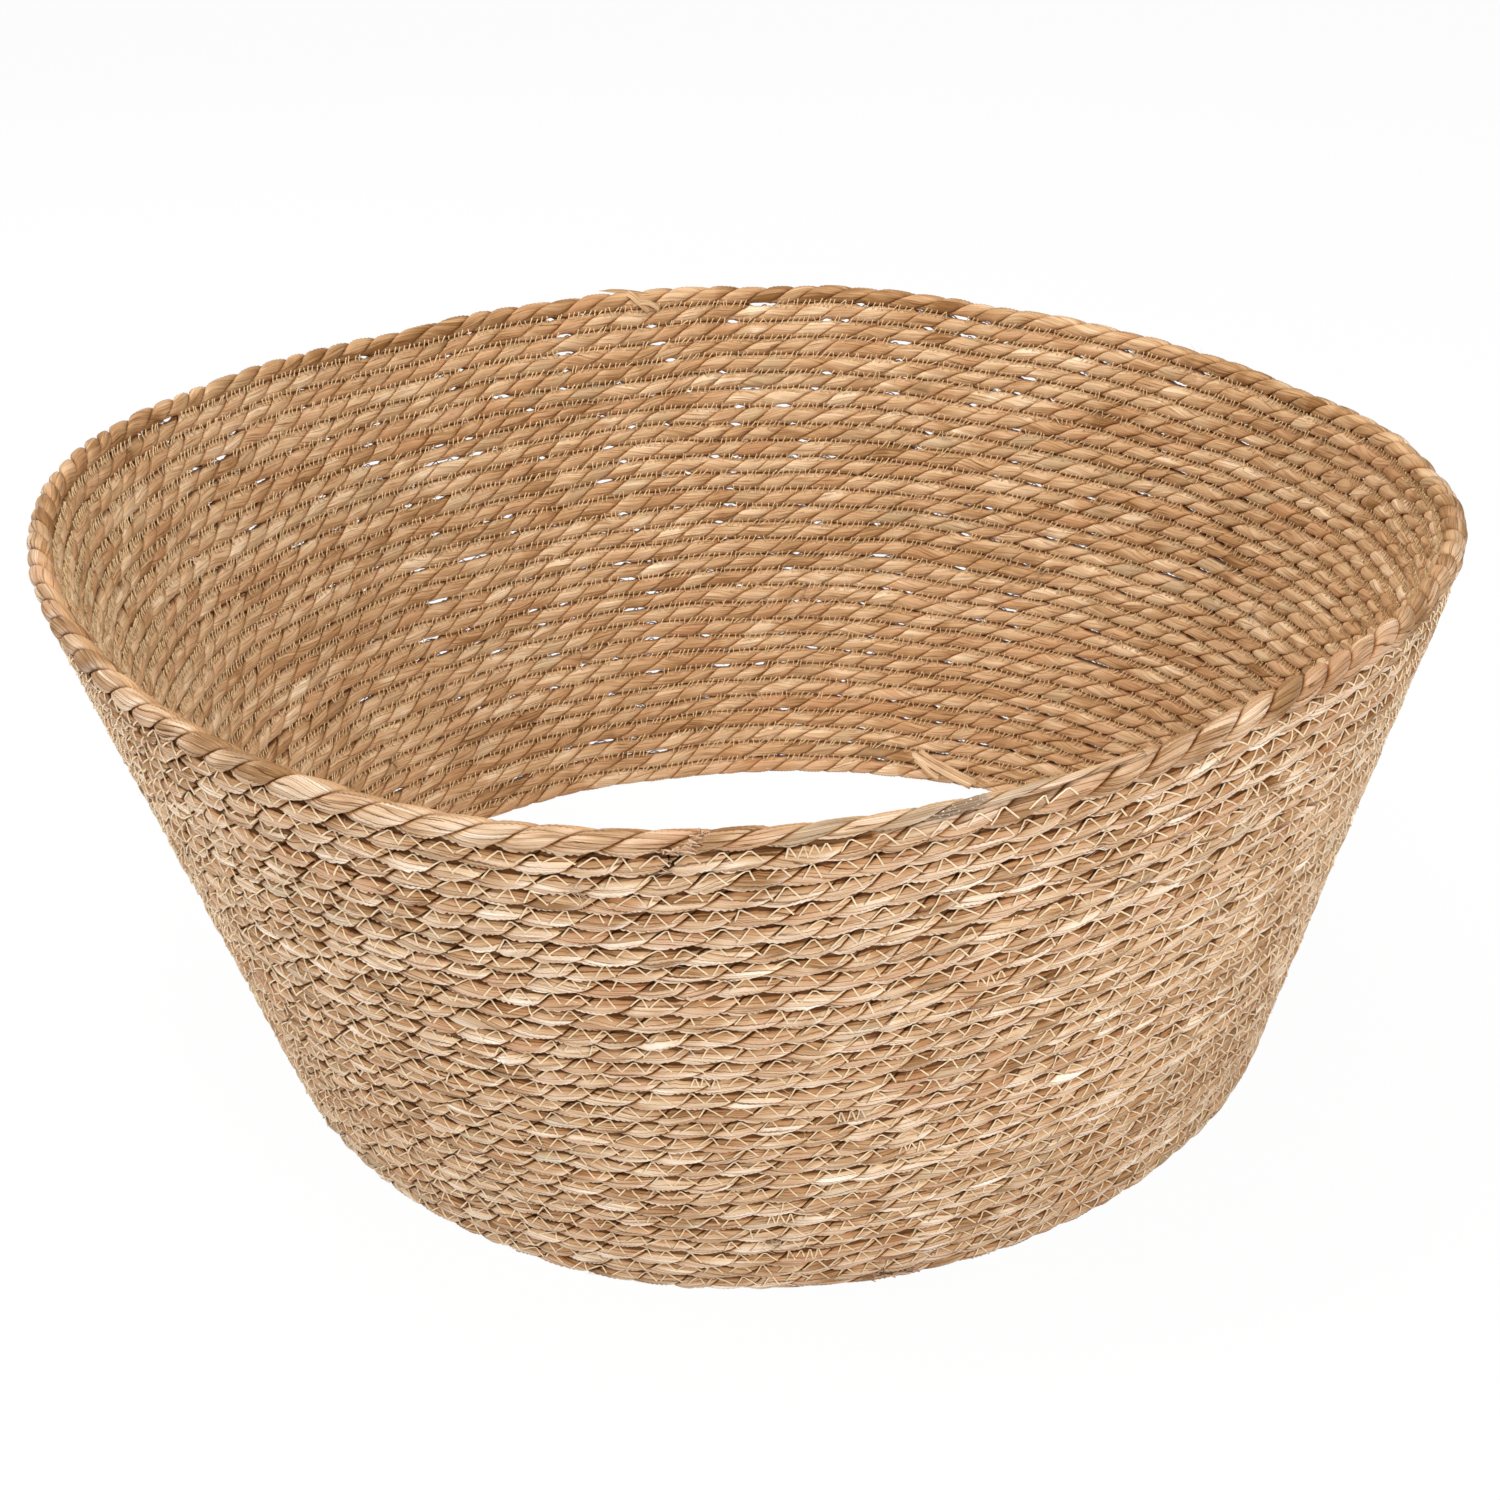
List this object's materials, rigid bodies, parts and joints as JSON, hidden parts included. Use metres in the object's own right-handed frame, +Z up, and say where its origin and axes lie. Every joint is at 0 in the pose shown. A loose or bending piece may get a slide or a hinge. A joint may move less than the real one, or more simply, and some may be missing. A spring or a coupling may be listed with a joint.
{
  "type": "tree collar basket",
  "caption": "Flared, bottomless basket of coiled twisted seagrass rope, sewn row to row with zigzag thread, that drops over a Christmas tree's stand to hide it.",
  "frame": {"origin": "centre of the bounding box on the floor that the collar stands on", "axes": "+Z up along the collar's axis, with the wide rim up; -Y is the side with the rope's two tails, which faces the picture's camera"},
  "size_m": [0.5564, 0.5792, 0.2467],
  "materials": {
    "seagrass": "dry twisted plant fibre, matt with a faint straw sheen",
    "needle_thread": "pale twisted sewing thread",
    "bobbin_thread": "golden twisted sewing thread"
  },
  "bodies": {
    "root": {"foot_rope": "seagrass", "wall_rope_2": "seagrass", "wall_rope_3": "seagrass", "wall_rope_4": "seagrass", "wall_rope_5": "seagrass", "wall_rope_6": "seagrass", "wall_rope_7": "seagrass", "wall_rope_8": "seagrass", "wall_rope_9": "seagrass", "wall_rope_10": "seagrass", "rim_rope": "seagrass", "needle_thread": "needle_thread", "bobbin_thread": "bobbin_thread"}
  },
  "joints": []
}
